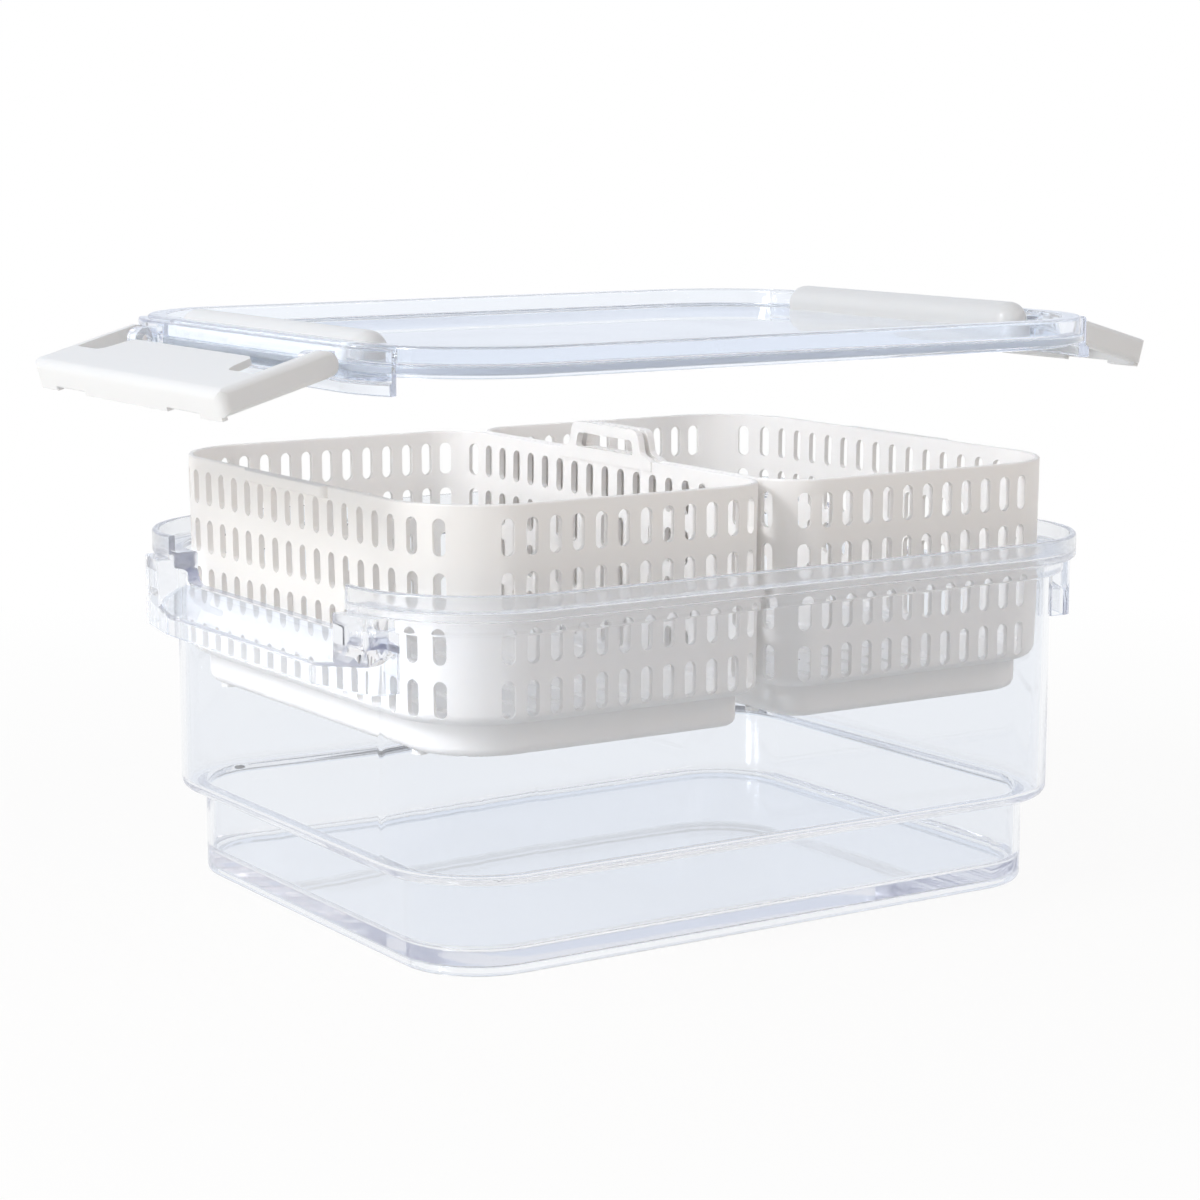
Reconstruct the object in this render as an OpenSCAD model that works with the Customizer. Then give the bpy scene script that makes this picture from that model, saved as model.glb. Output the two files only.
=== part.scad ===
// Produce keeper: a clear stepped bin with a latching lid and two perforated drain baskets.
// The origin is the middle of the bin's underside, X runs along the bin and Z is up.
// The lid and the baskets are drawn lifted out of the bin, and the latches swung open.

/* [Bin] */
// Length of the bin outside its upper wall
bin_length = 280; // [240:1:320]
// Width of the bin outside its upper wall
bin_width = 222; // [200:1:260]
// Height of the bin to the top of its rim
bin_height = 131.5; // [120:0.5:160]
// Outside corner radius of the upper wall
bin_corner = 39; // [36:1:50]
// Thickness of the bin's walls
bin_wall = 2.5; // [2:0.1:3]
// How far the foot stands in from the upper wall
foot_inset = 9; // [8:0.5:10]
// Height of the foot, to the underside of the step
foot_height = 33; // [28:1:38]
// Height of the floor's upper face
floor_top = 8; // [7:0.5:11]
// Height of the ring that the floor stands on
foot_ring = 3; // [2:0.5:4]
// Height of the band round the rim
rim_band = 9; // [8:0.5:11]
// How far the rim's band stands out from the wall
rim_out = 9; // [8:0.5:10]
// Height of the bead under the band
bead_height = 5.3; // [4:0.1:6]
// How far the bead stands out from the wall
bead_out = 4.5; // [3:0.5:6]

/* [Bin ends] */
// Width of the notch in each end of the rim
notch_width = 136; // [120:1:138]
// Depth of the notch below the top of the rim
notch_depth = 18.5; // [16:0.5:20]
// Length of the handle lip on each end
lip_length = 176; // [170:1:190]
// How far the middle of the handle lip stands out from the wall
lip_out = 16; // [15:0.1:17]
// How far the ends of the handle lip stand out from the wall
lip_end_out = 10; // [9.5:0.1:11]
// Length of the lip's straight middle
lip_middle = 112; // [100:1:120]
// Depth of the lip's lower edge below the notch
lip_drop = 15.7; // [14:0.1:18]
// Height of the lip's outer face
lip_face = 7; // [5:0.5:8]

/* [Baskets] */
// Room between a basket and the bin's wall
basket_room = 2.5; // [2:0.1:4]
// Room between the two baskets
basket_between = 2; // [1:0.5:4]
// Thickness of the baskets' walls
basket_wall = 2; // [1.6:0.1:2.4]
// Height of a basket from its step to its rim
basket_wall_height = 73.3; // [68:0.1:80]
// Height of a basket's foot
basket_foot_height = 11.7; // [9:0.1:14]
// How far a basket's foot stands in from its wall
basket_foot_inset = 8; // [7.5:0.5:9]
// Corner radius of a basket on the side next to its neighbour
basket_inner_corner = 18; // [17:1:24]
// How far a basket's wall leans in from rim to step
basket_draft = 1; // [0:0.1:1.5]
// Width of a slot
slot_width = 4.6; // [3.5:0.1:5.2]
// Length of a slot
slot_length = 12.5; // [10:0.5:14]
// Rows of slots
slot_rows = 4; // [3:1:4]
// Height from one row to the next
row_pitch = 17.9; // [16:0.1:18]
// Depth of the first row's middle below the rim
first_row = 10.9; // [10:0.1:13]
// Columns of slots on the side walls
side_columns = 12; // [8:1:12]
// Column spacing on the side walls
side_pitch = 8.9; // [7.5:0.1:9]
// Columns of slots on the end walls
end_columns = 19; // [12:1:19]
// Column spacing on the end walls
end_pitch = 10.5; // [8.5:0.1:10.6]
// Height of the loop handle above the rim
loop_height = 10.6; // [9:0.1:13]
// Width of the loop handle at the rim
loop_width = 62; // [56:1:70]
// Thickness of the loop handle
loop_thickness = 2.5; // [2:0.1:3]
// Length of the grip lip on the outer wall
grip_lip_length = 60; // [50:1:66]
// Height of the grip lip
grip_lip_height = 4.2; // [3:0.1:4.4]

/* [Lid] */
// How far the lid stands out past the rim
lid_overhang = 1; // [0.5:0.1:2]
// Height of the lid's border above the rim
border_height = 9; // [8:0.1:11]
// Width of the lid's border
border_width = 8.5; // [8:0.5:10]
// Depth of the lid's panel below its border
panel_depth = 6.5; // [5:0.1:6.5]
// Thickness of the lid's panel
panel_thickness = 2.5; // [2:0.1:2.5]
// Depth of the rib that keeps the lid inside the rim
rib_depth = 1.5; // [1:0.1:2]
// Width of the seal under the border
seal_width = 3.4; // [3:0.1:3.6]
// Depth of the seal's groove
seal_depth = 2.4; // [2:0.1:3]
// How far the skirt on each end of the lid goes round its corners, in degrees
skirt_wrap = 28; // [15:1:40]
// Depth of the skirt below the border
skirt_depth = 7; // [6:0.1:8]
// Width of a grip rail
rail_width = 14; // [13:0.5:15]
// Length of a grip rail
rail_length = 140; // [120:1:142]
// Height of a grip rail over the lid's panel
rail_height = 9.4; // [9:0.1:11]
// Depth of a grip rail below the lid's panel
rail_sink = 5.6; // [4:0.1:6]

/* [Latches] */
// Width of a latch over its arms
latch_width = 150; // [148:1:156]
// Height of a latch's arms
latch_arm = 9.3; // [8.5:0.1:10]
// Thickness of a latch's arms
arm_thickness = 5.1; // [4:0.1:5.5]
// Thickness of a latch's plate
plate_thickness = 2.5; // [2:0.1:3]
// Diameter of the pivot stubs
stub_diameter = 3; // [2.5:0.1:3.5]
// Length of the pivot stubs
stub_length = 5.5; // [4:0.5:6.5]
// Thickness of the hooks
hook_thickness = 2.4; // [2:0.1:3]
// How far the corners of a latch reach past its outer wall
hook_reach = 1.2; // [1:0.1:1.5]
// Length of the finger lip under a latch's outer wall
finger_lip = 66; // [50:1:100]

/* [As drawn] */
// How far the lid is lifted off the bin
lid_lift = 70.2; // [0:0.5:120]
// How far the baskets are lifted out of the bin
basket_lift = 50; // [0:0.5:110]
// How far the latches hang below the horizontal, in degrees
latch_angle = 16; // [0:1:90]

/* [Clearances] */
// Gap between pieces that rest on each other
seat_gap = 0.3; // [0.2:0.05:0.5]
// Gap between pieces that are pressed together
press_gap = 0.1; // [0.05:0.05:0.2]
// Gap round the pivot stubs
pivot_gap = 0.15; // [0.1:0.05:0.3]
// Gap between the latch's arms and the lip's face
latch_gap = 0.45; // [0.35:0.05:0.8]

/* [Hidden] */
$fn = 64;
// Overlap of shapes that are joined, and overshoot of cuts
eps = 0.05;
cut = 1;
// Half sizes of the bin's upper wall
bin_x = bin_length / 2;
bin_y = bin_width / 2;
// Heights along the bin's wall
ledge_top = foot_height + bin_wall;
band_bottom = bin_height - rim_band;
bead_bottom = band_bottom - bead_height;
shelf_top = band_bottom + bin_wall;
notch_floor = bin_height - notch_depth;
lip_bottom = notch_floor - lip_drop;
lip_bend = 12;
lip_end_corner = 4;
notch_corner = 6;
floor_reach = 12;
ring_width = 6;
// Half sizes and corners of one basket
basket_x = (bin_x - bin_wall - basket_room - basket_between / 2) / 2;
basket_y = bin_y - bin_wall - basket_room;
basket_outer_corner = bin_corner - bin_wall - basket_room;
basket_place = basket_between / 2 + basket_x;
basket_height = basket_foot_height + basket_wall_height;
basket_seat = ledge_top + seat_gap - basket_foot_height;
basket_radii = [basket_inner_corner, basket_outer_corner, basket_outer_corner, basket_inner_corner];
slot_reach = 7;
grip_lip_out = basket_room - seat_gap;
grip_lip_corner = 2;
grip_lip_edge = 0.8;
nub_diameter = 5;
nub_height = 1.5;
nub_x = basket_x - basket_foot_inset - 4;
nub_y = basket_y - 35;
drain_columns = 8;
drain_rows = 5;
drain_width = 4;
drain_bar = 6;
loop_bar = 4;
loop_flare = 9;
// Half sizes of the lid and its heights with the lid closed
lid_x = bin_x + rim_out + lid_overhang;
lid_y = bin_y + rim_out + lid_overhang;
lid_corner = bin_corner + rim_out + lid_overhang;
border_bottom = bin_height + seat_gap;
border_top = border_bottom + border_height;
panel_top = border_top - panel_depth;
rib_face = rim_out - bin_wall - 1 - rim_out - lid_overhang;
rib_width = 2;
seal_face = 0.2 - lid_overhang;
flange_height = 2.6;
flange_step = 1.2;
skirt_bottom = border_bottom - skirt_depth;
skirt_inside = bin_x + rim_out + 0.6;
skirt_thickness = 2.6;
skirt_outside = skirt_inside + skirt_thickness;
skirt_bead = 1.3;
skirt_bead_height = 4;
// Grip rails
rail_radius = rail_width / 2;
rail_place = lid_x - 6 - rail_radius;
rail_foot = rail_height + rail_sink - rail_radius;
rail_seat = panel_top - rail_sink;
well_wall = 1.5;
// Latches: the arms hang clear of the lip, and the outer wall reaches under it
latch_y = latch_width / 2;
lip_slope = (lip_out - lip_end_out) / (lip_length - lip_middle) * 2;
lip_at_arm = lip_out - lip_slope * (latch_y - arm_thickness - lip_middle / 2);
pivot_x = bin_x + lip_at_arm + latch_gap + latch_arm / 2;
pivot_z = border_bottom + 2;
latch_length = pivot_z - lip_bottom + seat_gap + hook_thickness;
knuckle_radius = 4.2;
knuckle_width = 7.5;
knuckle_face = latch_y - arm_thickness - 0.4;
plate_start = 23;
tongue_start = 10.8;
tongue_width = 100;
tongue_corner = 5;
nose_radius = 3.5;
arm_round = 2.2;
latch_corner = 4;
hook_width = 15;
finger_lip_depth = 1;

// Points of a polygon whose corners are rounded: each point is [x, y, radius]
function turn(a, b) = a[0] * b[1] - a[1] * b[0];
function unit(v) = v / norm(v);
function fillet(p, q, s, n) =
    let (a = unit([p[0] - q[0], p[1] - q[1]]),
         b = unit([s[0] - q[0], s[1] - q[1]]),
         half = acos(a * b) / 2,
         reach = q[2] / tan(half),
         middle = [q[0], q[1]] + unit(a + b) * q[2] / sin(half),
         from = [q[0], q[1]] + a * reach - middle,
         sweep = (turn(a, b) < 0 ? 1 : -1) * (180 - 2 * half))
    [for (k = [0:n])
        let (w = sweep * k / n)
        middle + [from[0] * cos(w) - from[1] * sin(w), from[0] * sin(w) + from[1] * cos(w)]];
function rounded(points, n = 4) =
    [for (i = [0:len(points) - 1])
        let (q = points[i],
             p = points[(i + len(points) - 1) % len(points)],
             s = points[(i + 1) % len(points)])
        each (q[2] > 0 ? fillet(p, q, s, n) : [[q[0], q[1]]])];

// A flat plate of half sizes x and y; radii go round from the corner at +X +Y
module plate(x, y, radii, bottom, top) {
    corner = [[1, 1], [-1, 1], [-1, -1], [1, -1]];
    translate([0, 0, bottom]) linear_extrude(top - bottom) union() {
        polygon([for (i = [0:3], end = [0, 1])
            let (r = radii[i], short_x = (i + end) % 2 == 0 ? 0 : r)
            [corner[i][0] * (x - short_x), corner[i][1] * (y - r + short_x)]]);
        for (i = [0:3])
            translate([corner[i][0] * (x - radii[i]), corner[i][1] * (y - radii[i])]) circle(radii[i]);
    }
}

// A profile carried round a rounded rectangle; its x runs outwards from the face and its y runs up
module sweep(x, y, radii) {
    for (side = [[0, y, x, 0, 1], [90, x, y, 1, 2], [180, y, x, 2, 3], [270, x, y, 3, 0]]) {
        first = side[2] - radii[side[4]];
        last = side[2] - radii[side[3]];
        rotate([0, 0, side[0]]) translate([-first, side[1], 0])
            rotate([90, 0, 90]) linear_extrude(first + last) children();
    }
    for (corner = [[1, 1, 0, 0], [-1, 1, 90, 1], [-1, -1, 180, 2], [1, -1, 270, 3]]) {
        r = radii[corner[3]];
        translate([corner[0] * (x - r), corner[1] * (y - r), 0])
            rotate([0, 0, corner[2]]) rotate_extrude(angle = 90) translate([r, 0]) children();
    }
}

// A slot with round ends, standing up in the drawing plane
module slot(width, length) {
    square([width, length - width], center = true);
    for (end = [-1, 1]) translate([0, end * (length - width) / 2]) circle(width / 2);
}

// Things that stand at both ends of the keeper, drawn at +X
module both_ends() {
    for (turned = [0, 180]) rotate([0, 0, turned]) children();
}

// The bin's wall in section, from the foot ring up to the rim and down inside to the floor
module bin_section() {
    polygon(rounded([
        [-foot_inset, 0, 2.5],
        [-foot_inset, foot_height, 2],
        [0, foot_height, 3.5],
        [0, bead_bottom, 1],
        [bead_out, bead_bottom, 1],
        [bead_out, band_bottom, 0.8],
        [rim_out, band_bottom, 1.2],
        [rim_out, bin_height, 1],
        [rim_out - bin_wall, bin_height, 0.8],
        [rim_out - bin_wall, shelf_top, 1],
        [-bin_wall, shelf_top, 1],
        [-bin_wall, ledge_top, 2],
        [-foot_inset - bin_wall, ledge_top, 2],
        [-foot_inset - bin_wall, floor_top, 3],
        [-foot_inset - floor_reach, floor_top, 0],
        [-foot_inset - floor_reach, foot_ring, 0],
        [-foot_inset - ring_width, foot_ring, 1],
        [-foot_inset - ring_width, 0, 1.5]]));
}

module bin() {
    radii = [for (i = [0:3]) bin_corner];
    inner = foot_inset + floor_reach;
    color("lavender", 0.4) difference() {
        union() {
            sweep(bin_x, bin_y, radii) bin_section();
            plate(bin_x - inner, bin_y - inner, radii - [for (i = [0:3]) inner], foot_ring, floor_top);
            both_ends() handle_lip();
        }
        both_ends() lip_hollow();
        both_ends() end_notch();
    }
}

// The lip's outline from above, drawn in by the given amount
module lip_plan(inset) {
    half = lip_length / 2 - inset;
    middle = lip_middle / 2;
    root = bin_x - eps;
    end = bin_x + lip_end_out - inset;
    face = bin_x + lip_out - inset;
    polygon(rounded([[root, -half, 0], [end, -half, lip_end_corner], [face, -middle, lip_bend],
                     [face, middle, lip_bend], [end, half, lip_end_corner], [root, half, 0]], 8));
}

// The lip under the rim that the hands and the latches take hold of; between its ends its top slopes out
module handle_lip() {
    slope_top = lip_bottom + lip_face;
    difference() {
        translate([0, 0, lip_bottom]) linear_extrude(band_bottom + eps - lip_bottom) lip_plan(0);
        rotate([90, 0, 0]) linear_extrude(notch_width, center = true)
            polygon([[bin_x + bin_wall, notch_floor], [bin_x + lip_out, slope_top],
                     [bin_x + lip_out + cut, slope_top], [bin_x + lip_out + cut, bin_height],
                     [bin_x + bin_wall, bin_height]]);
    }
}

// The hollow under the lip, open below for the fingers
module lip_hollow() {
    slope_top = lip_bottom + lip_face - bin_wall;
    intersection() {
        translate([0, 0, lip_bottom - cut]) linear_extrude(lip_drop) lip_plan(bin_wall);
        rotate([90, 0, 0]) linear_extrude(lip_length, center = true)
            polygon([[bin_x, lip_bottom - cut], [bin_x + lip_out, lip_bottom - cut],
                     [bin_x + lip_out, slope_top], [bin_x, notch_floor - bin_wall]]);
    }
}

// The notch that lowers the rim between the two corners of an end
module end_notch() {
    half = notch_width / 2;
    depth = lip_out + bin_wall + 2 * cut;
    translate([bin_x - bin_wall - cut, 0, 0]) rotate([90, 0, 90]) linear_extrude(depth)
        polygon(rounded([[-half, bin_height + cut, 0], [-half, notch_floor, notch_corner],
                         [half, notch_floor, notch_corner], [half, bin_height + cut, 0]], 6));
}

// A basket's wall in section, from the rim down over the step to the foot and back up inside
module basket_section() {
    foot = basket_foot_inset;
    step = basket_foot_height;
    polygon(rounded([
        [0, basket_height, 0.7],
        [-basket_draft, step, 4],
        [-foot, step, 1],
        [-foot, 0, 3],
        [-foot - 6, 0, 0],
        [-foot - 6, basket_wall, 0],
        [-foot - basket_wall, basket_wall, 1.5],
        [-foot - basket_wall, step + basket_wall, 1.5],
        [-basket_draft - basket_wall, step + basket_wall, 2],
        [-basket_wall, basket_height, 0.7]]));
}

// The slots of the wall that faces -Y, in columns and rows; past its straight part they follow the corners
// round. Its ends have the corner radii low, at -X, and high, at +X.
module wall_slots(columns, pitch, half, face, low, high) {
    straight = half - (low + high) / 2;
    for (column = [0:columns - 1]) {
        along = (column - (columns - 1) / 2) * pitch;
        radius = along < 0 ? low : high;
        past = max(0, abs(along) - straight) / radius * 180 / PI;
        translate([(low - high) / 2 + sign(along) * min(abs(along), straight), radius - face, 0])
            rotate([0, 0, sign(along) * past]) translate([0, -radius - cut, 0])
                rotate([90, 0, 180]) linear_extrude(slot_reach + cut)
                    for (row = [0:slot_rows - 1])
                        translate([0, basket_height - first_row - row * row_pitch])
                            slot(slot_width, slot_length);
    }
}

// The slots in the floor that let the water drain
module drain_slots() {
    pitch_x = (basket_x - basket_foot_inset - 2 * basket_wall) * 2 / drain_columns;
    pitch_y = (basket_y - basket_foot_inset - 2 * basket_wall) * 2 / drain_rows;
    translate([0, 0, -cut]) linear_extrude(basket_wall + 2 * cut)
        for (i = [0:drain_columns - 1], j = [0:drain_rows - 1])
            translate([(i - (drain_columns - 1) / 2) * pitch_x, (j - (drain_rows - 1) / 2) * pitch_y])
                slot(drain_width, pitch_y - drain_bar);
}

// The loop that lifts the basket, a flat arch that carries the inner wall on above the rim
module loop_handle() {
    base = loop_width / 2;
    leg = base - loop_flare;
    root = -first_row / 3;
    inside = leg - loop_bar;
    top = loop_height - loop_bar;
    translate([basket_x - loop_thickness, 0, basket_height]) rotate([90, 0, 90])
        linear_extrude(loop_thickness) difference() {
            polygon(rounded([[-base, root, 0], [-base, 0, 0], [-leg - 2, 2, 3], [-leg, loop_height, 4],
                             [leg, loop_height, 4], [leg + 2, 2, 3], [base, 0, 0], [base, root, 0]]));
            polygon(rounded([[-inside - 1.5, 1.2, 1], [-inside, top, 2],
                             [inside, top, 2], [inside + 1.5, 1.2, 1]]));
        }
}

// The lip along the outer wall's rim that the fingers take hold of; it fills the room beside the bin's wall
module grip_lip() {
    half = grip_lip_length / 2;
    bottom = basket_height - grip_lip_height;
    face = -basket_x - grip_lip_out;
    root = -basket_x + basket_wall / 2;
    intersection() {
        translate([0, 0, bottom]) linear_extrude(grip_lip_height)
            polygon(rounded([[root, -half, 0], [root, half, 0], [face, half, grip_lip_corner],
                             [face, -half, grip_lip_corner]], 6));
        rotate([90, 0, 0]) linear_extrude(grip_lip_length + cut, center = true)
            polygon(rounded([[root, bottom, 0], [root, basket_height, 0],
                             [face, basket_height, grip_lip_edge], [face, bottom, grip_lip_edge]]));
    }
}

// One basket about its own middle, with its loop at +X
module basket() {
    inner = basket_foot_inset + 5;
    floor_radii = basket_radii - [for (i = [0:3]) inner];
    tight = basket_inner_corner;
    wide = basket_outer_corner;
    color("ghostwhite") {
        difference() {
            union() {
                sweep(basket_x, basket_y, basket_radii) basket_section();
                plate(basket_x - inner, basket_y - inner, floor_radii, 0, basket_wall);
                loop_handle();
                grip_lip();
            }
            for (side = [0, 1]) mirror([0, side, 0])
                wall_slots(side_columns, side_pitch, basket_x, basket_y, wide, tight);
            rotate([0, 0, 90]) wall_slots(end_columns, end_pitch, basket_y, basket_x, tight, tight);
            rotate([0, 0, 270]) wall_slots(end_columns, end_pitch, basket_y, basket_x, wide, wide);
            drain_slots();
        }
        for (x = [-1, 1] * nub_x, y = [-1, 1] * nub_y)
            translate([x, y, -nub_height]) cylinder(d = nub_diameter, h = nub_height + eps);
    }
}

module basket_left() {
    translate([-basket_place, 0, basket_seat + basket_lift]) basket();
}

module basket_right() {
    translate([basket_place, 0, basket_seat + basket_lift]) rotate([0, 0, 180]) basket();
}

// The lid's border in section: flange, raised border, rib inside the rim and the seal's groove
module lid_section() {
    polygon(rounded([
        [0, border_bottom, 0.4],
        [0, border_bottom + flange_height, 0.6],
        [-flange_step, border_bottom + flange_height, 0.4],
        [-flange_step, border_top, 1.2],
        [-border_width, border_top, 1],
        [-border_width, panel_top, 1],
        [-border_width - 2, panel_top, 0],
        [-border_width - 2, panel_top - panel_thickness, 0],
        [rib_face - rib_width, border_bottom, 0],
        [rib_face - rib_width, border_bottom - rib_depth, 0.5],
        [rib_face, border_bottom - rib_depth, 0.5],
        [rib_face, border_bottom, 0],
        [seal_face - seal_width, border_bottom, 0],
        [seal_face - seal_width, border_bottom + seal_depth, 0.3],
        [seal_face, border_bottom + seal_depth, 0.3],
        [seal_face, border_bottom, 0]]));
}

module lid() {
    radii = [for (i = [0:3]) lid_corner];
    inner = border_width + 1;
    color("aliceblue", 0.4) translate([0, 0, lid_lift]) difference() {
        union() {
            sweep(lid_x, lid_y, radii) lid_section();
            plate(lid_x - inner, lid_y - inner, radii - [for (i = [0:3]) inner],
                  panel_top - panel_thickness, panel_top);
            both_ends() lid_skirt();
            both_ends() rail_well();
            both_ends() for (side = [-1, 1])
                translate([0, side * (knuckle_face - knuckle_width / 2), 0]) knuckle();
        }
        both_ends() rail_pocket();
        both_ends() translate([pivot_x, 0, pivot_z]) rotate([90, 0, 0])
            cylinder(d = stub_diameter + 2 * pivot_gap, h = latch_width, center = true);
    }
}

// The skirt that hangs outside the rim at an end of the lid, and a little way round the two corners there
module lid_skirt() {
    radii = [for (i = [0:3]) lid_corner];
    middle = [lid_x - lid_corner, lid_y - lid_corner];
    reach = 2 * lid_corner * [cos(skirt_wrap), sin(skirt_wrap)];
    intersection() {
        sweep(lid_x, lid_y, radii) translate([-lid_x, 0]) skirt_section();
        translate([0, 0, skirt_bottom - cut]) linear_extrude(border_top - skirt_bottom + 2 * cut)
            polygon([[middle[0], -middle[1]], [middle[0] + reach[0], -middle[1] - reach[1]],
                     middle + reach, middle]);
    }
}

// The skirt in section: it leaves the border above the seal's groove and ends in a bead
module skirt_section() {
    groove_roof = border_bottom + seal_depth + 0.8;
    root = skirt_inside - 4;
    top = border_top - 1;
    bead_top = skirt_bottom + skirt_bead_height;
    polygon(rounded([[skirt_inside, skirt_bottom, 0], [skirt_outside + skirt_bead, skirt_bottom, 0.6],
                     [skirt_outside + skirt_bead, bead_top, 0.6], [skirt_outside, bead_top, 0.6],
                     [skirt_outside, top, 1.2], [root, top, 0], [root, groove_roof, 0],
                     [skirt_inside, groove_roof, 0]]));
}

// A lug on the skirt that carries one of the latch's pivot stubs
module knuckle() {
    root = skirt_inside + 1;
    rotate([90, 0, 0]) linear_extrude(knuckle_width, center = true) {
        translate([pivot_x, pivot_z]) circle(knuckle_radius);
        translate([root, pivot_z - knuckle_radius]) square([pivot_x - root, 2 * knuckle_radius]);
    }
}

// A grip rail's outline from above, grown by the given amount
module rail_plan(grow) {
    length = rail_length - rail_width;
    translate([rail_place, 0]) {
        square([rail_width + 2 * grow, length], center = true);
        for (end = [-1, 1]) translate([0, end * length / 2]) circle(rail_radius + grow);
    }
}

// The well under the lid's panel that a grip rail is pressed into, and the room in it
module rail_well() {
    bottom = rail_seat - well_wall;
    translate([0, 0, bottom]) linear_extrude(panel_top - bottom) rail_plan(press_gap + well_wall);
}

module rail_pocket() {
    translate([0, 0, rail_seat]) linear_extrude(rail_sink + border_height) rail_plan(press_gap);
}

// The soft ring in the groove under the lid's border
module lid_seal() {
    radii = [for (i = [0:3]) lid_corner];
    inner = seal_face - seal_width + press_gap;
    outer = seal_face - press_gap;
    top = border_bottom + seal_depth - press_gap;
    color("white", 0.7) translate([0, 0, lid_lift])
        sweep(lid_x, lid_y, radii)
            polygon(rounded([[inner, border_bottom, 0.8], [outer, border_bottom, 0.8], [outer, top, 0.3],
                             [inner, top, 0.3]], 3));
}

// One grip rail at +X: a deep bar with a half-round top and domed ends, pressed into the lid's well
module grip_rail() {
    length = rail_length - rail_width;
    base = rail_seat + press_gap;
    color("white") translate([rail_place, 0, base + lid_lift]) {
        rotate([90, 0, 0]) linear_extrude(length, center = true) {
            translate([-rail_radius, 0]) square([rail_width, rail_foot]);
            translate([0, rail_foot]) intersection() {
                circle(rail_radius);
                translate([-rail_radius, 0]) square([rail_width, rail_radius]);
            }
        }
        for (end = [-1, 1]) translate([0, end * length / 2, 0]) {
            cylinder(r = rail_radius, h = rail_foot);
            translate([0, 0, rail_foot]) rotate_extrude() intersection() {
                circle(rail_radius);
                square(rail_radius);
            }
        }
    }
}

module grip_rail_left() {
    rotate([0, 0, 180]) grip_rail();
}

module grip_rail_right() {
    grip_rail();
}

// One latch about its pivot, lying flat: X runs out to the hooks and Z is its upper face
module latch() {
    half = latch_arm / 2;
    wall = latch_length - hook_thickness;
    color("white") intersection() {
        union() {
            for (side = [0, 1]) mirror([0, side, 0]) {
                latch_side();
                translate([wall, latch_y - arm_round - hook_width, -half - hook_reach])
                    cube([hook_thickness, hook_width, hook_reach + half]);
            }
            translate([0, 0, half - plate_thickness]) linear_extrude(plate_thickness) latch_plan();
            rotate([90, 0, 0]) linear_extrude(latch_width - 2 * arm_round, center = true) latch_nose();
            translate([wall, -finger_lip / 2, -half - finger_lip_depth])
                cube([hook_thickness, finger_lip, half + finger_lip_depth]);
        }
        translate([0, 0, -latch_arm]) linear_extrude(2 * latch_arm)
            polygon(rounded([[-latch_arm, -latch_y, 0], [latch_length, -latch_y, latch_corner],
                             [latch_length, latch_y, latch_corner], [-latch_arm, latch_y, 0]], 6));
    }
}

// The latch's arm at +Y: round at the pivot, rounded along its outer side, with a stub on its inner side
module latch_side() {
    half = latch_arm / 2;
    inside = latch_y - arm_thickness;
    intersection() {
        translate([0, inside + arm_thickness / 2, 0]) rotate([90, 0, 0])
            linear_extrude(arm_thickness, center = true) {
                circle(half);
                polygon(rounded([[0, -half, 0], [latch_length, -half, 1], [latch_length, half, nose_radius],
                                 [0, half, 0]], 6));
            }
        translate([-latch_arm, 0, 0]) rotate([90, 0, 90]) linear_extrude(latch_arm + latch_length + cut)
            polygon(rounded([[inside, -half, 0], [latch_y, -half, arm_round], [latch_y, half, arm_round],
                             [inside, half, 0]], 6));
    }
    translate([0, inside + eps, 0]) rotate([90, 0, 0]) cylinder(d = stub_diameter, h = stub_length + eps);
}

// The latch's plate from above: the full width at the hooks, and a tongue towards the pivot
module latch_plan() {
    edge = latch_y - arm_round;
    tongue = tongue_width / 2;
    outer = latch_length - nose_radius;
    polygon(rounded([[outer, -edge, 0], [outer, edge, 0], [plate_start, edge, 0],
                     [plate_start, tongue, tongue_corner], [tongue_start, tongue - 3, tongue_corner],
                     [tongue_start, 3 - tongue, tongue_corner], [plate_start, -tongue, tongue_corner],
                     [plate_start, -edge, 0]], 6));
}

// The latch's outer edge in section: the plate turned down into the wall that carries the hooks
module latch_nose() {
    half = latch_arm / 2;
    root = latch_length - nose_radius - 1;
    wall = latch_length - hook_thickness;
    under = half - plate_thickness;
    polygon(rounded([[root, half, 0], [root, under, 0], [wall, under, 1], [wall, -half, 0],
                     [latch_length, -half, 1], [latch_length, half, nose_radius]], 6));
}

module latch_left() {
    translate([-pivot_x, 0, pivot_z + lid_lift]) rotate([0, 0, 180]) rotate([0, latch_angle, 0]) latch();
}

module latch_right() {
    translate([pivot_x, 0, pivot_z + lid_lift]) rotate([0, latch_angle, 0]) latch();
}

bin();
basket_left();
basket_right();
lid();
lid_seal();
grip_rail_left();
grip_rail_right();
latch_left();
latch_right();
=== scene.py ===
"""Looks of the produce keeper: clear moulded bin and lid, white perforated baskets, white latches."""
import math

import bpy
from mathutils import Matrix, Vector

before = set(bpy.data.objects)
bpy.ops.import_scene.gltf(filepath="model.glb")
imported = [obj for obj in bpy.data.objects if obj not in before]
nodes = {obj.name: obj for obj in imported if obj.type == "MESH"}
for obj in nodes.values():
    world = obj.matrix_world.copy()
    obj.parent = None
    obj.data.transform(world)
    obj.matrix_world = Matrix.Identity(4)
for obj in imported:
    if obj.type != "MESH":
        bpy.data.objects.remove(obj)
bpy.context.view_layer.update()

# BIN: one injection moulding in clear SAN, with a stepped foot, an L-shaped rim and a handle lip at
# each end. The mould is polished and only the rim's top band is satin, so the eye sees mostly edges,
# a faint blue cast where the plastic is deep, and reflections that waver where the walls have sunk.
MM = 0.001
CLEAR_TINT = "#F6F8FB"
CLEAR_DEPTH = "#BCC0D6"
DEPTH_PER_M = 1.5
CLEAR_TO_LAMPS = "#FCFCFD"
CLEAR_IOR = 1.54
POLISHED = 0.02
SATIN = 0.16
SATIN_FROM_MM = 119
SATIN_FADE_MM = 2
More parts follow.
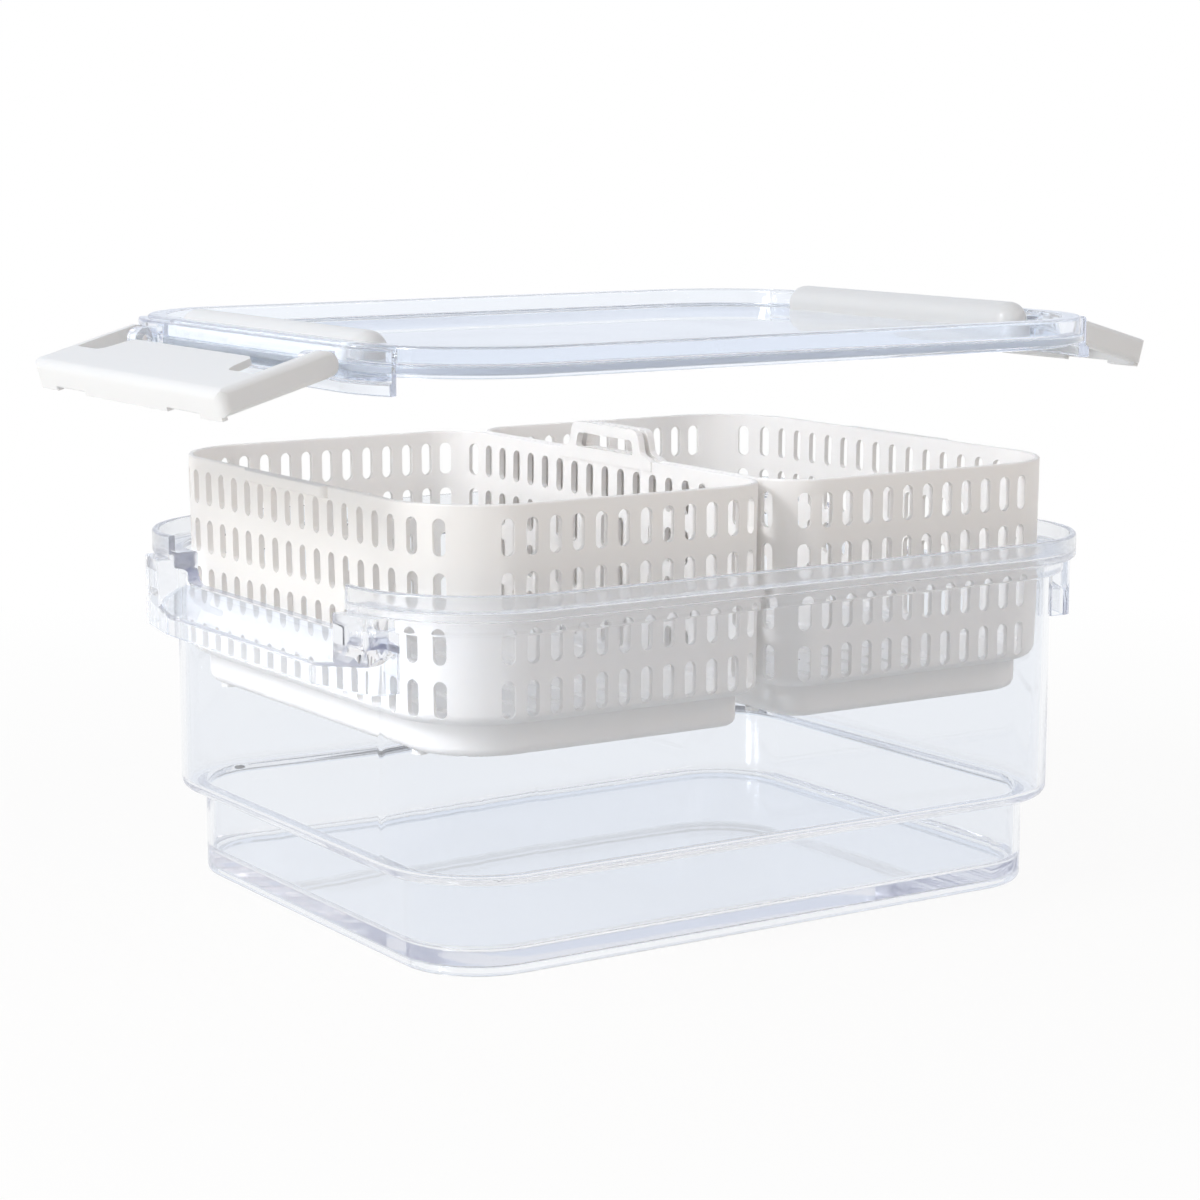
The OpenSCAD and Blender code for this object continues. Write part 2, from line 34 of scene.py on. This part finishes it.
SINK_SPACING_MM = 45
SINK_DEPTH_MM = 0.04
WELD_MM = 0.002
SHARP_DEGREES = 32


def colour(hex_text):
    """An sRGB hex colour as linear RGBA."""
    values = [int(hex_text[i:i + 2], 16) / 255 for i in (1, 3, 5)]
    return [v / 12.92 if v <= 0.04045 else ((v + 0.055) / 1.055) ** 2.4 for v in values] + [1]


def add(tree, kind, inputs=(), **settings):
    """Adds a node; each input is a value or the socket that it is linked to."""
    node = tree.nodes.new(kind)
    for name, value in settings.items():
        setattr(node, name, value)
    for name, value in dict(inputs).items():
        if isinstance(value, bpy.types.NodeSocket):
            tree.links.new(value, node.inputs[name])
        else:
            node.inputs[name].default_value = value
    return node


def new_material(name):
    """An empty material with its output node."""
    material = bpy.data.materials.new(name)
    material.use_nodes = True
    material.node_tree.nodes.clear()
    return material, material.node_tree, material.node_tree.nodes.new("ShaderNodeOutputMaterial")


def clear_plastic(name, tint, satin_from_mm=None):
    """Polished clear moulding with slightly wavy faces, satin above a height; lamps shine through it."""
    material, tree, output = new_material(name)
    place = add(tree, "ShaderNodeTexCoord").outputs["Object"]
    wave = add(tree, "ShaderNodeTexNoise", {
        "Vector": place, "Scale": 1 / (SINK_SPACING_MM * MM), "Detail": 1.0})
    bump = add(tree, "ShaderNodeBump", {
        "Height": wave.outputs["Fac"], "Strength": 1.0, "Distance": SINK_DEPTH_MM * MM})
    gloss = POLISHED
    if satin_from_mm is not None:
        level = add(tree, "ShaderNodeSeparateXYZ", {0: place})
        gloss = add(tree, "ShaderNodeMapRange", {
            "Value": level.outputs["Z"], "From Min": satin_from_mm * MM,
            "From Max": (satin_from_mm + SATIN_FADE_MM) * MM,
            "To Min": POLISHED, "To Max": SATIN}).outputs["Result"]
    plastic = add(tree, "ShaderNodeBsdfPrincipled", {
        "Base Color": colour(tint), "Roughness": gloss, "IOR": CLEAR_IOR,
        "Transmission Weight": 1.0, "Normal": bump.outputs["Normal"]})
    through = add(tree, "ShaderNodeBsdfTransparent", {"Color": colour(CLEAR_TO_LAMPS)})
    lamp = add(tree, "ShaderNodeLightPath").outputs["Is Shadow Ray"]
    mix = add(tree, "ShaderNodeMixShader", {0: lamp, 1: plastic.outputs[0], 2: through.outputs[0]})
    tree.links.new(mix.outputs[0], output.inputs["Surface"])
    deep = add(tree, "ShaderNodeVolumeAbsorption", {
        "Color": colour(CLEAR_DEPTH), "Density": DEPTH_PER_M})
    tree.links.new(deep.outputs[0], output.inputs["Volume"])
    return material


def dress(node, material):
    """Gives a CAD node its material, and shades its small fillets round and its flat faces flat."""
    part = nodes[node]
    part.data.materials.clear()
    part.data.materials.append(material)
    part.data.shade_smooth()
    weld = part.modifiers.new("weld", "WELD")
    weld.merge_threshold = WELD_MM * MM
    split = part.modifiers.new("edges", "EDGE_SPLIT")
    split.split_angle = math.radians(SHARP_DEGREES)
    part.modifiers.new("normals", "WEIGHTED_NORMAL").keep_sharp = True


clear_bin = clear_plastic("clear_san_moulded_bin", CLEAR_TINT, SATIN_FROM_MM)
dress("bin", clear_bin)

# BASKETS: two white polypropylene mouldings, thin walled and perforated all round, with a stepped
# foot and a loop handle. The mould is finely etched, so the faces are satin with a fine grain, which
# is drawn coarser than the real one so that it shows.
WHITE_PP = "#FCFAF7"
PP_ROUGHNESS = 0.42
PP_MOTTLE = 0.06
ETCH_MM = 0.6
ETCH_DEPTH_MM = 0.004
WHITE_IOR = 1.49
MILKY_SHARE = 0.15
MILKY_DEPTH_MM = (3.0, 2.6, 2.3)
GRAIN_LOW, GRAIN_HIGH = 0.3, 0.7


def white_plastic(name, tint, roughness, mottle, grain_mm, grain_depth_mm):
    """Opaque, slightly milky white moulding with an etched grain that also mottles its gloss."""
    material, tree, output = new_material(name)
    place = add(tree, "ShaderNodeTexCoord").outputs["Object"]
    grain = add(tree, "ShaderNodeTexNoise", {
        "Vector": place, "Scale": 1 / (grain_mm * MM), "Detail": 2.0})
    bump = add(tree, "ShaderNodeBump", {
        "Height": grain.outputs["Fac"], "Strength": 1.0, "Distance": grain_depth_mm * MM})
    gloss = add(tree, "ShaderNodeMapRange", {
        "Value": grain.outputs["Fac"], "From Min": GRAIN_LOW, "From Max": GRAIN_HIGH,
        "To Min": roughness - mottle, "To Max": roughness + mottle})
    plastic = add(tree, "ShaderNodeBsdfPrincipled", {
        "Base Color": colour(tint), "Roughness": gloss.outputs["Result"], "IOR": WHITE_IOR,
        "Subsurface Weight": MILKY_SHARE, "Subsurface Radius": [depth * MM for depth in MILKY_DEPTH_MM],
        "Subsurface Scale": 1.0, "Normal": bump.outputs["Normal"]})
    tree.links.new(plastic.outputs[0], output.inputs["Surface"])
    return material


white_pp = white_plastic(
    "white_polypropylene_etched", WHITE_PP, PP_ROUGHNESS, PP_MOTTLE, ETCH_MM, ETCH_DEPTH_MM)
for basket in ("basket_left", "basket_right"):
    dress(basket, white_pp)

# LID: one tray-shaped moulding in the same clear SAN as the bin, with skirts and hinge knuckles at its
# ends. It is polished all over and a little bluer, and it is set down on the bin's rim, where the
# latches hold it.
LID_TINT = "#F4F8FE"
clear_lid = clear_plastic("clear_san_moulded_lid", LID_TINT)
dress("lid", clear_lid)

# SEAL: a soft ring moulded in translucent silicone and pressed into the groove under the lid's border.
# Its skin is dull, so it shows through the clear lid as no more than a milky line.
SILICONE = "#F2F5F8"
SILICONE_ROUGHNESS = 0.45
SILICONE_IOR = 1.41
SILICONE_CLARITY = 0.8
silicone, tree, output = new_material("translucent_silicone")
rubber = add(tree, "ShaderNodeBsdfPrincipled", {
    "Base Color": colour(SILICONE), "Roughness": SILICONE_ROUGHNESS, "IOR": SILICONE_IOR,
    "Transmission Weight": SILICONE_CLARITY})
tree.links.new(rubber.outputs[0], output.inputs["Surface"])
dress("lid_seal", silicone)

# GRIP RAILS: two rounded bars moulded in white ABS and let into wells in the lid's ends. Their mould is
# smoother than the baskets', so they are glossier and show hardly any grain.
WHITE_ABS = "#ECEDED"
ABS_ROUGHNESS = 0.3
ABS_MOTTLE = 0.015
ABS_GRAIN_MM = 0.5
ABS_GRAIN_DEPTH_MM = 0.0004
white_abs = white_plastic(
    "white_abs_moulded", WHITE_ABS, ABS_ROUGHNESS, ABS_MOTTLE, ABS_GRAIN_MM, ABS_GRAIN_DEPTH_MM)
for rail in ("grip_rail_left", "grip_rail_right"):
    dress(rail, white_abs)

# LATCHES: two U-shaped flaps of the same white ABS. Each turns on stubs moulded on its arms, which run
# in the lid's knuckles, and has hooks that catch under the bin's lip.
for latch in ("latch_left", "latch_right"):
    dress(latch, white_abs)

# FLOOR: a pale sheet that runs out of sight, as in a light tent. The eye and the clear plastic see it
# almost white, with the keeper's soft shadow, which fades out with the distance.
WHITE = (1, 1, 1, 1)
FLOOR_SIZE_M = 60
FLOOR_DROP_MM = 0.2
FLOOR_PALE = "#F4F1EC"
FLOOR_GLOW = 0.92
SHADOW_NEAR_M = 0.3
SHADOW_FAR_M = 0.7
bpy.ops.mesh.primitive_plane_add(size=FLOOR_SIZE_M, location=(0, 0, -FLOOR_DROP_MM * MM))
floor = bpy.context.object
floor.name = "floor"
pale, tree, output = new_material("pale_floor")
path = add(tree, "ShaderNodeLightPath").outputs
seen = add(tree, "ShaderNodeMath", {
    0: path["Is Camera Ray"], 1: path["Is Transmission Ray"]}, operation="MAXIMUM")
seen = add(tree, "ShaderNodeMath", {0: seen.outputs[0], 1: path["Is Glossy Ray"]}, operation="MAXIMUM")
place = add(tree, "ShaderNodeTexCoord").outputs["Object"]
away = add(tree, "ShaderNodeVectorMath", {0: place}, operation="LENGTH")
lit = add(tree, "ShaderNodeMapRange", {
    "Value": away.outputs["Value"], "From Min": SHADOW_NEAR_M, "From Max": SHADOW_FAR_M,
    "To Min": FLOOR_GLOW, "To Max": 1.0})
share = add(tree, "ShaderNodeMath", {0: seen.outputs[0], 1: lit.outputs["Result"]}, operation="MULTIPLY")
matt = add(tree, "ShaderNodeBsdfDiffuse", {"Color": colour(FLOOR_PALE)})
glow = add(tree, "ShaderNodeEmission", {"Color": WHITE, "Strength": 1.0})
mix = add(tree, "ShaderNodeMixShader", {0: share.outputs[0], 1: matt.outputs[0], 2: glow.outputs[0]})
tree.links.new(mix.outputs[0], output.inputs["Surface"])
floor.data.materials.append(pale)

# TENT: white to the eye. What the clear plastic mirrors and bends is cooler and dark overhead, which
# draws its edges, and what falls on the white pieces is dimmer, warm at the sides and cool from above.
# Each stop is the height of the direction, from the horizon at 0 to straight up at 1, and its colour.
MIRRORED_STOPS = ((0.0, WHITE), (0.06, (0.81, 0.85, 0.93, 1)), (0.45, (0.86, 0.89, 0.94, 1)),
                  (0.62, (0.6, 0.62, 0.66, 1)), (0.78, (0.1, 0.1, 0.11, 1)))
LIGHTING_STOPS = ((0.0, (0.27, 0.245, 0.22, 1)), (1.0, (0.61, 0.64, 0.7, 1)))
BEFORE_FIRST_SCATTER = 0.5
world = bpy.data.worlds.new("light_tent")
bpy.context.scene.world = world
world.use_nodes = True
tree = world.node_tree
tree.nodes.clear()
path = add(tree, "ShaderNodeLightPath").outputs
direction = add(tree, "ShaderNodeTexCoord").outputs["Generated"]
height = add(tree, "ShaderNodeSeparateXYZ", {0: direction}).outputs["Z"]


def shade_by_height(stops):
    """A background whose colour runs up from the horizon to overhead."""
    ramp = add(tree, "ShaderNodeValToRGB", {0: height})
    while len(ramp.color_ramp.elements) < len(stops):
        ramp.color_ramp.elements.new(0.5)
    for stop, (position, shade) in zip(ramp.color_ramp.elements, stops):
        stop.position = position
        stop.color = shade
    return add(tree, "ShaderNodeBackground", {"Color": ramp.outputs[0], "Strength": 1.0})


lighting = shade_by_height(LIGHTING_STOPS)
mirrored = shade_by_height(MIRRORED_STOPS)
white = add(tree, "ShaderNodeBackground", {"Color": WHITE, "Strength": 1.0})
clear = add(tree, "ShaderNodeMath", {
    0: path["Is Glossy Ray"], 1: path["Is Transmission Ray"]}, operation="MAXIMUM")
first = add(tree, "ShaderNodeMath", {
    0: path["Diffuse Depth"], 1: BEFORE_FIRST_SCATTER}, operation="LESS_THAN")
clear = add(tree, "ShaderNodeMath", {0: clear.outputs[0], 1: first.outputs[0]}, operation="MULTIPLY")
mixed = add(tree, "ShaderNodeMixShader", {
    0: clear.outputs[0], 1: lighting.outputs[0], 2: mirrored.outputs[0]})
mixed = add(tree, "ShaderNodeMixShader", {
    0: path["Is Camera Ray"], 1: mixed.outputs[0], 2: white.outputs[0]})
add(tree, "ShaderNodeOutputWorld", {"Surface": mixed.outputs[0]})

# LAMPS: three soft boxes on the left, one of them large, one low and one high, a warm one in front, and
# a narrow strip at the right, which draws the pale lines along the clear mouldings' round edges. Light
# that is caught between the faces of the clear walls needs many bounces to come out again.
MIDDLE = Vector((0, 0, 0.1))
CLEAR_BOUNCES = 256
SEE_THROUGH_LAYERS = 48


def soft_box(name, place, wide, tall, watts, tint):
    """An area lamp that looks at the keeper's middle."""
    lamp = bpy.data.lights.new(name, "AREA")
    lamp.shape = "RECTANGLE"
    lamp.size = wide
    lamp.size_y = tall
    lamp.energy = watts
    lamp.color = colour(tint)[:3]
    box = bpy.data.objects.new(name, lamp)
    bpy.context.scene.collection.objects.link(box)
    box.location = place
    box.rotation_mode = "QUATERNION"
    box.rotation_quaternion = (MIDDLE - Vector(place)).to_track_quat("-Z", "Y")


soft_box("key_left", (-1.6, 0.0, 0.75), 1.1, 1.1, 1.8, "#FFFFFF")
soft_box("low_left", (-1.6, -0.1, 0.36), 0.25, 0.25, 2.8, "#FFFFFF")
soft_box("high_left", (-1.3, 0.0, 1.05), 0.4, 0.4, 8.5, "#FFFFFF")
soft_box("front", (0.4, -1.45, 0.85), 0.9, 0.9, 1.6, "#FFF0E2")
soft_box("strip", (0.93, -0.97, 1.08), 0.7, 0.12, 2.0, "#FFEEDD")
cycles = bpy.context.scene.cycles
cycles.max_bounces = CLEAR_BOUNCES
cycles.transmission_bounces = CLEAR_BOUNCES
cycles.glossy_bounces = CLEAR_BOUNCES
cycles.transparent_max_bounces = SEE_THROUGH_LAYERS

# CAMERA: stands in front of the keeper's left end, a little above its lid. Place, turn, tilt and lens
# were fitted to the photograph's square frame.
AZIMUTH = math.radians(-33.0)
ELEVATION = math.radians(9.23)
LENS_MM = 89.23
SENSOR_MM = 36
NEAR_M, FAR_M = 0.01, 200
CAMERA_PLACE = Vector((-602.8, -920.1, 282.6)) * MM
camera = bpy.data.objects.new("camera", bpy.data.cameras.new("camera"))
bpy.context.scene.collection.objects.link(camera)
camera.data.sensor_width = SENSOR_MM
camera.data.lens = LENS_MM
camera.data.clip_start = NEAR_M
camera.data.clip_end = FAR_M
camera.location = CAMERA_PLACE
camera.rotation_mode = "QUATERNION"
back = Vector((math.sin(AZIMUTH) * math.cos(ELEVATION), -math.cos(AZIMUTH) * math.cos(ELEVATION),
               math.sin(ELEVATION)))
camera.rotation_quaternion = (-back).to_track_quat("-Z", "Y")
bpy.context.scene.camera = camera
bpy.context.scene.view_settings.view_transform = "Standard"
